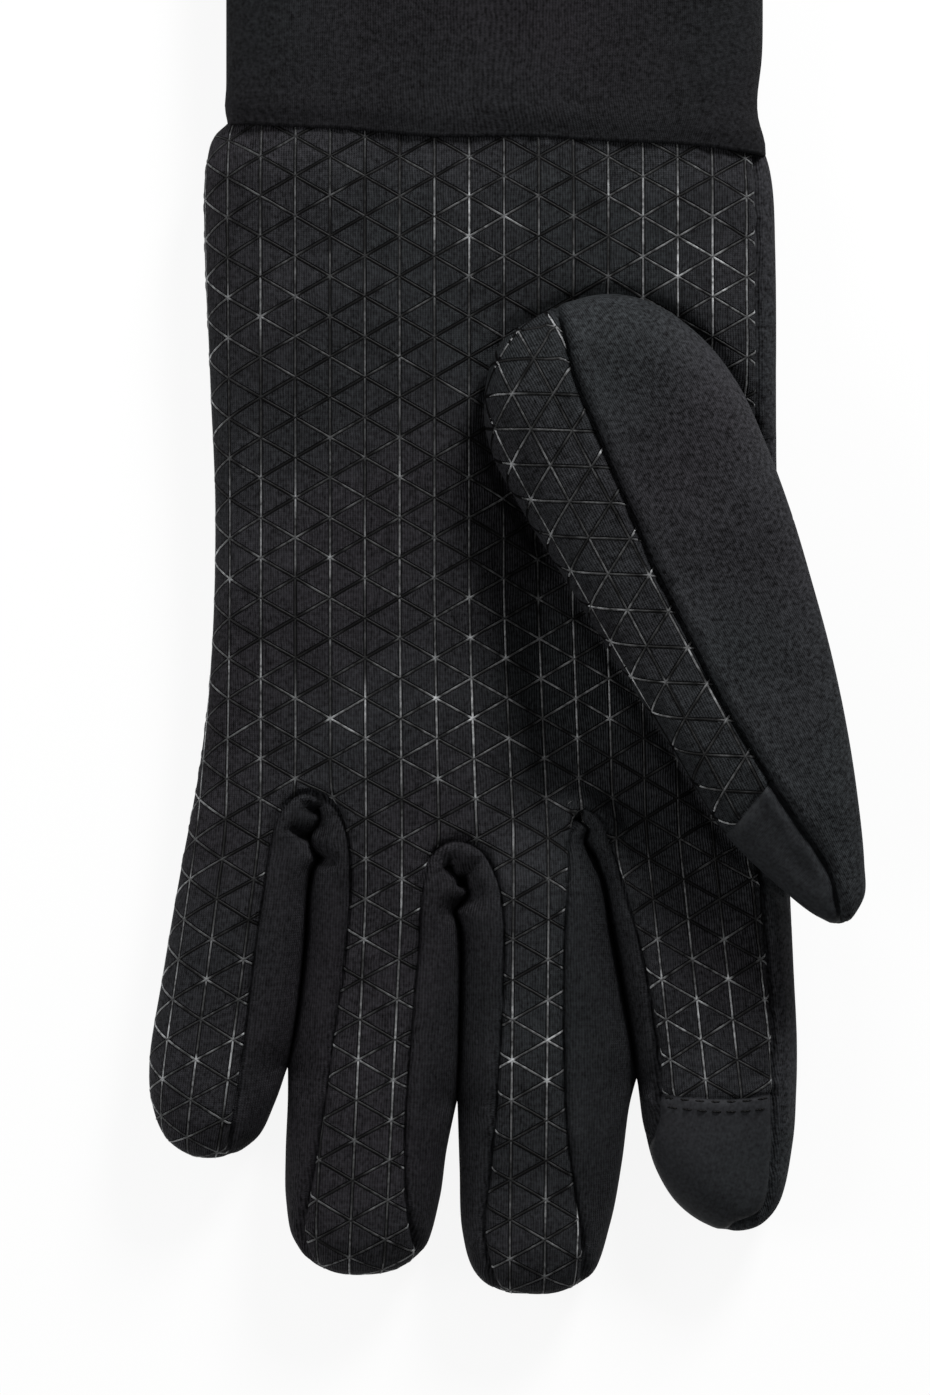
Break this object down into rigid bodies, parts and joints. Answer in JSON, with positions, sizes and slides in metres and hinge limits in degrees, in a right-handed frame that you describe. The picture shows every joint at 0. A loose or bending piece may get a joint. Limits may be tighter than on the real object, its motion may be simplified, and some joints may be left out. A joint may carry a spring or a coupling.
{
  "type": "touchscreen glove",
  "caption": "Left-hand knitted glove with fourchettes, smooth touch tips on index finger and thumb, a printed grip on the palm and a plain cuff, lying palm up.",
  "frame": {"origin": "centre of the glove's box, on the surface it lies on", "axes": "+Z out of the palm, +Y from the fingertips to the cuff, +X to the thumb side"},
  "size_m": [0.1272, 0.2676, 0.029],
  "materials": {
    "palm_knit": "fine ribbed stretch knit, matt black",
    "back_knit": "brushed stretch knit, matt black",
    "fourchette_knit": "fine ribbed stretch knit, matt black",
    "cuff_knit": "smooth stretch knit, matt black",
    "touch_knit": "dense smooth knit with conductive yarn, black",
    "grip_silicone": "glossy printed silicone, black",
    "brushed_lining": "short brushed fleece, black",
    "thread": "twisted polyester thread, black",
    "label_tape": "satin woven tape, blank, dark grey"
  },
  "bodies": {
    "hand": {"palm_panel": "palm_knit", "back_panel": "back_knit", "hand_lining": "brushed_lining", "fourchette_web_little_ring": "fourchette_knit", "fourchette_web_ring_middle": "fourchette_knit", "fourchette_web_middle_index": "fourchette_knit", "thumb_root_palm_panel": "palm_knit", "thumb_root_back_panel": "back_knit", "thumb_root_lining": "brushed_lining", "cuff_shell": "cuff_knit", "cuff_facing": "cuff_knit", "wrist_overlock": "thread", "care_label": "label_tape", "palm_grip_print": "grip_silicone", "thumb_root_grip_print": "grip_silicone"},
    "little_finger": {"little_palm_panel": "palm_knit", "little_back_panel": "back_knit", "little_fourchette_facing_ring": "fourchette_knit", "little_lining": "brushed_lining", "little_grip_print": "grip_silicone"},
    "ring_finger": {"ring_palm_panel": "palm_knit", "ring_back_panel": "back_knit", "ring_fourchette_facing_little": "fourchette_knit", "ring_fourchette_facing_middle": "fourchette_knit", "ring_lining": "brushed_lining", "ring_grip_print": "grip_silicone"},
    "middle_finger": {"middle_palm_panel": "palm_knit", "middle_back_panel": "back_knit", "middle_fourchette_facing_ring": "fourchette_knit", "middle_fourchette_facing_index": "fourchette_knit", "middle_lining": "brushed_lining", "middle_grip_print": "grip_silicone"},
    "index_finger": {"index_palm_panel": "palm_knit", "index_back_panel": "back_knit", "index_fourchette_facing_middle": "fourchette_knit", "index_lining": "brushed_lining", "index_touch_tip": "touch_knit", "index_grip_print": "grip_silicone", "index_tip_stitching": "thread"},
    "thumb": {"thumb_palm_panel": "palm_knit", "thumb_back_panel": "back_knit", "thumb_touch_tip": "touch_knit", "thumb_lining": "brushed_lining", "thumb_grip_print": "grip_silicone"}
  },
  "joints": [
    {"name": "little_flex", "type": "hinge", "parent": "hand", "child": "little_finger", "pos_m": [-0.044, -0.0509, 0.0152], "axis": [-1, 0, 0], "range_deg": [0, 85]},
    {"name": "ring_flex", "type": "hinge", "parent": "hand", "child": "ring_finger", "pos_m": [-0.0206, -0.0604, 0.0152], "axis": [-1, 0, 0], "range_deg": [0, 85]},
    {"name": "middle_flex", "type": "hinge", "parent": "hand", "child": "middle_finger", "pos_m": [0.004, -0.0604, 0.0152], "axis": [-1, 0, 0], "range_deg": [0, 85]},
    {"name": "index_flex", "type": "hinge", "parent": "hand", "child": "index_finger", "pos_m": [0.034, -0.0678, 0.0152], "axis": [-1, 0, 0], "range_deg": [0, 85]},
    {"name": "thumb_flex", "type": "hinge", "parent": "hand", "child": "thumb", "pos_m": [0.03271, -0.00294, 0.029], "axis": [-0.9231, -0.3846, 0], "range_deg": [0, 60]}
  ]
}
